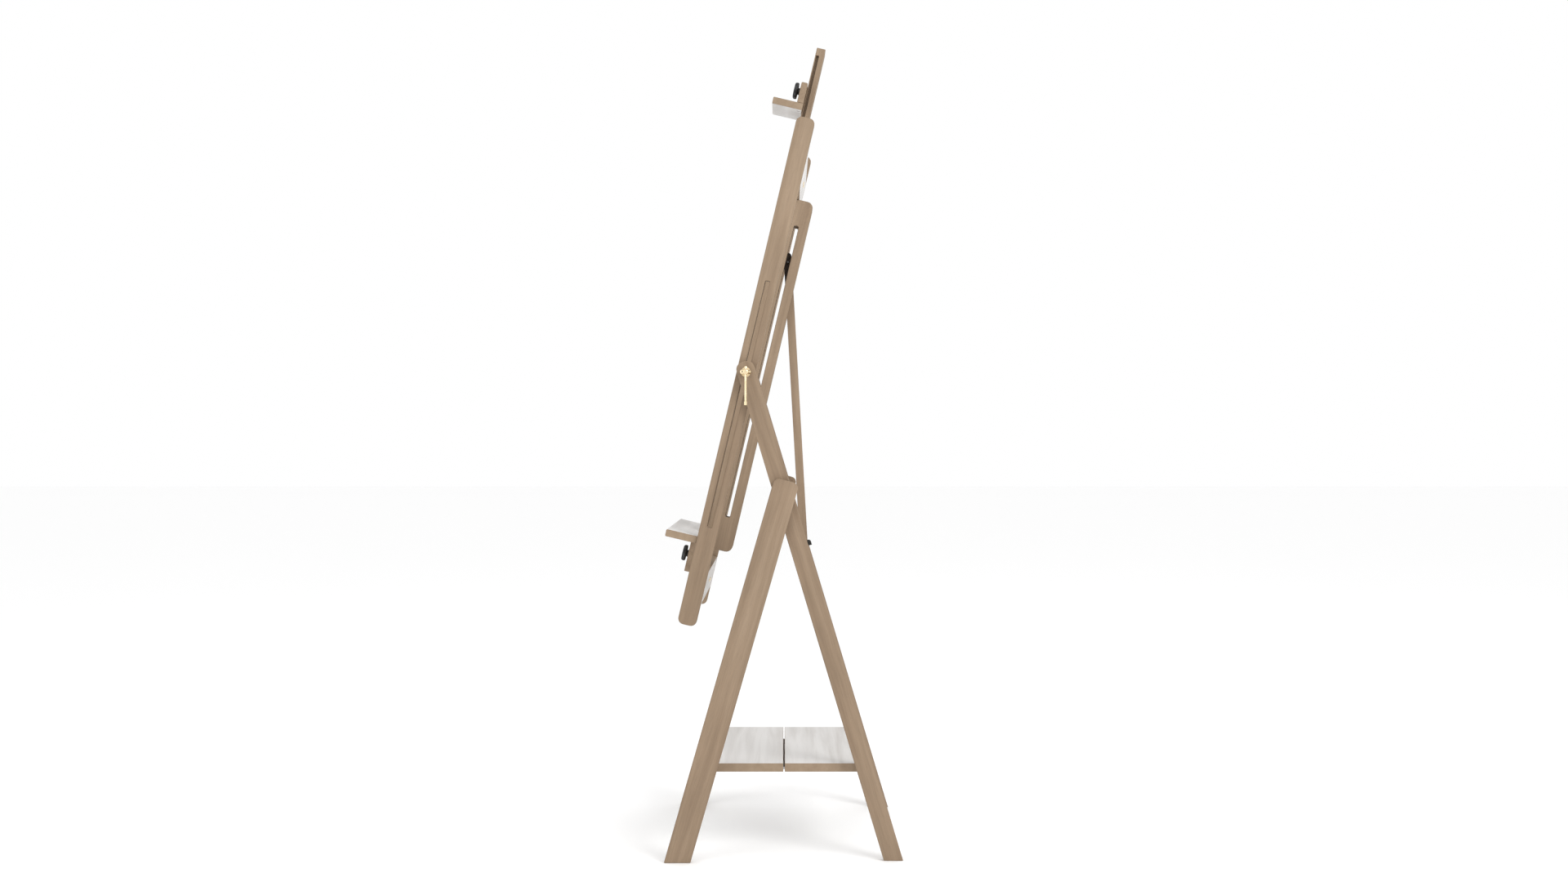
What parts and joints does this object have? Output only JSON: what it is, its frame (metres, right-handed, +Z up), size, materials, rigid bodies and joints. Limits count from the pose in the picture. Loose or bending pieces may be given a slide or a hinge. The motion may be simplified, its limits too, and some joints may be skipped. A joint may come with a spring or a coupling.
{
  "type": "studio easel",
  "caption": "Tall wooden studio easel with a folding A base and shelf, and a tilting, sliding painting frame with a canvas tray and a top clamp.",
  "frame": {"origin": "on the floor, at the middle of the footprint", "axes": "+Z up, +X across the easel to the painter's right as seen from the front of the canvas side, +Y to the rear; the canvas side faces -Y"},
  "size_m": [0.612, 0.5603, 1.9682],
  "materials": {
    "brown_wood": "oiled brown wood with fine straight grain",
    "whitewashed_wood": "white-washed wood with faint grain",
    "brass": "polished brass",
    "zinc_steel": "zinc-plated steel",
    "black_plastic": "black moulded plastic"
  },
  "bodies": {
    "rear_frame": {"base_pivot_bolt_left": "zinc_steel", "base_pivot_bolt_right": "zinc_steel", "long_leg_left": "brown_wood", "long_leg_right": "brown_wood", "prop_bracket": "zinc_steel", "prop_bracket_screw_left": "zinc_steel", "prop_bracket_screw_right": "zinc_steel", "prop_hinge_pin": "zinc_steel", "prop_rail": "brown_wood", "rear_shelf_pin_left": "zinc_steel", "rear_shelf_pin_right": "zinc_steel"},
    "front_legs": {"front_leg_left": "brown_wood", "front_leg_right": "brown_wood", "shelf_rod": "zinc_steel"},
    "shelf_front": {"shelf_board_front": "whitewashed_wood", "shelf_hinge_leaf_front": "zinc_steel", "shelf_hinge_screw_front_left": "zinc_steel", "shelf_hinge_screw_front_right": "zinc_steel"},
    "shelf_rear": {"shelf_board_rear": "whitewashed_wood", "shelf_hinge_leaf_rear": "zinc_steel", "shelf_hinge_pin": "zinc_steel", "shelf_hinge_screw_rear_left": "zinc_steel", "shelf_hinge_screw_rear_right": "zinc_steel"},
    "carriage": {"tilt_bolt_left": "zinc_steel", "tilt_bolt_right": "zinc_steel", "tilt_washer_left": "brass", "tilt_washer_right": "brass"},
    "handle_left": {"handle_hub_left": "brass"},
    "handle_right": {"handle_hub_right": "brass"},
    "bar_left": {"tommy_bar_left": "brass"},
    "bar_right": {"tommy_bar_right": "brass"},
    "canvas_frame": {"bottom_cross_dowel_left": "brown_wood", "bottom_cross_dowel_right": "brown_wood", "bottom_cross_rail": "whitewashed_wood", "bottom_cross_screw_left": "brass", "bottom_cross_screw_right": "brass", "mast": "brown_wood", "side_rail_left": "brown_wood", "side_rail_right": "brown_wood", "spine_board_left": "brown_wood", "spine_board_right": "brown_wood", "top_cross_dowel_left": "brown_wood", "top_cross_dowel_right": "brown_wood", "top_cross_rail": "whitewashed_wood", "top_cross_screw_left": "brass", "top_cross_screw_right": "brass"},
    "tray": {"tray_board": "whitewashed_wood", "tray_bolt": "zinc_steel", "tray_plate": "brown_wood", "tray_screw_left": "zinc_steel", "tray_screw_right": "zinc_steel"},
    "tray_knob": {"tray_knob": "black_plastic"},
    "top_clamp": {"clamp_bolt": "zinc_steel", "clamp_lip": "whitewashed_wood", "clamp_plate": "brown_wood", "clamp_screw_left": "zinc_steel", "clamp_screw_right": "zinc_steel"},
    "clamp_knob": {"clamp_knob": "black_plastic"},
    "prop": {"prop": "brown_wood", "prop_top_pin": "zinc_steel"}
  },
  "joints": [
    {"name": "base_fold", "type": "hinge", "parent": "rear_frame", "child": "front_legs", "pos_m": [0, -0.002, 0.86], "axis": [1, 0, 0], "range_deg": [0, 30]},
    {"name": "shelf_fold_front", "type": "hinge", "parent": "front_legs", "child": "shelf_front", "pos_m": [0, -0.189, 0.21], "axis": [1, 0, 0], "range_deg": [0, 76.48]},
    {"name": "shelf_fold_rear", "type": "hinge", "parent": "shelf_front", "child": "shelf_rear", "pos_m": [0, 0, 0.1967], "axis": [1, 0, 0], "range_deg": [-178.59, 0]},
    {"name": "frame_tilt", "type": "hinge", "parent": "rear_frame", "child": "carriage", "pos_m": [0, -0.0895, 1.146], "axis": [1, 0, 0], "range_deg": [-9, 13]},
    {"name": "frame_slide", "type": "slide", "parent": "carriage", "child": "canvas_frame", "axis": [0, 0.2307, 0.973], "range_m": [-0.065, 0.365]},
    {"name": "prop_swing", "type": "hinge", "parent": "rear_frame", "child": "prop", "pos_m": [0, 0.05, 0.72], "axis": [1, 0, 0], "range_deg": [-4, 5.75]},
    {"name": "handle_turn_left", "type": "hinge", "parent": "carriage", "child": "handle_left", "pos_m": [-0.29, -0.0895, 1.146], "axis": [-1, 0, 0], "range_deg": [-180, 180]},
    {"name": "handle_turn_right", "type": "hinge", "parent": "carriage", "child": "handle_right", "pos_m": [0.29, -0.0895, 1.146], "axis": [1, 0, 0], "range_deg": [-180, 180]},
    {"name": "tommy_bar_slide_left", "type": "slide", "parent": "handle_left", "child": "bar_left", "axis": [0, 0, 1], "range_m": [0, 0.062]},
    {"name": "tommy_bar_slide_right", "type": "slide", "parent": "handle_right", "child": "bar_right", "axis": [0, 0, 1], "range_m": [0, 0.062]},
    {"name": "tray_slide", "type": "slide", "parent": "canvas_frame", "child": "tray", "axis": [0, 0.2307, 0.973], "range_m": [0, 0.85]},
    {"name": "clamp_slide", "type": "slide", "parent": "canvas_frame", "child": "top_clamp", "axis": [0, 0.2307, 0.973], "range_m": [-0.165, 0.06]},
    {"name": "tray_knob_turn", "type": "hinge", "parent": "tray", "child": "tray_knob", "pos_m": [0, -0.24613, 0.70216], "axis": [0, -0.973, 0.2307], "continuous": true},
    {"name": "clamp_knob_turn", "type": "hinge", "parent": "top_clamp", "child": "clamp_knob", "pos_m": [0, 0.03028, 1.86784], "axis": [0, -0.973, 0.2307], "continuous": true}
  ],
  "couplings": [
    {"joint": "shelf_fold_front", "follows": "base_fold", "ratio": 2.5476},
    {"joint": "shelf_fold_rear", "follows": "base_fold", "ratio": -5.9512},
    {"joint": "prop_swing", "follows": "frame_tilt", "ratio": 0.435}
  ]
}
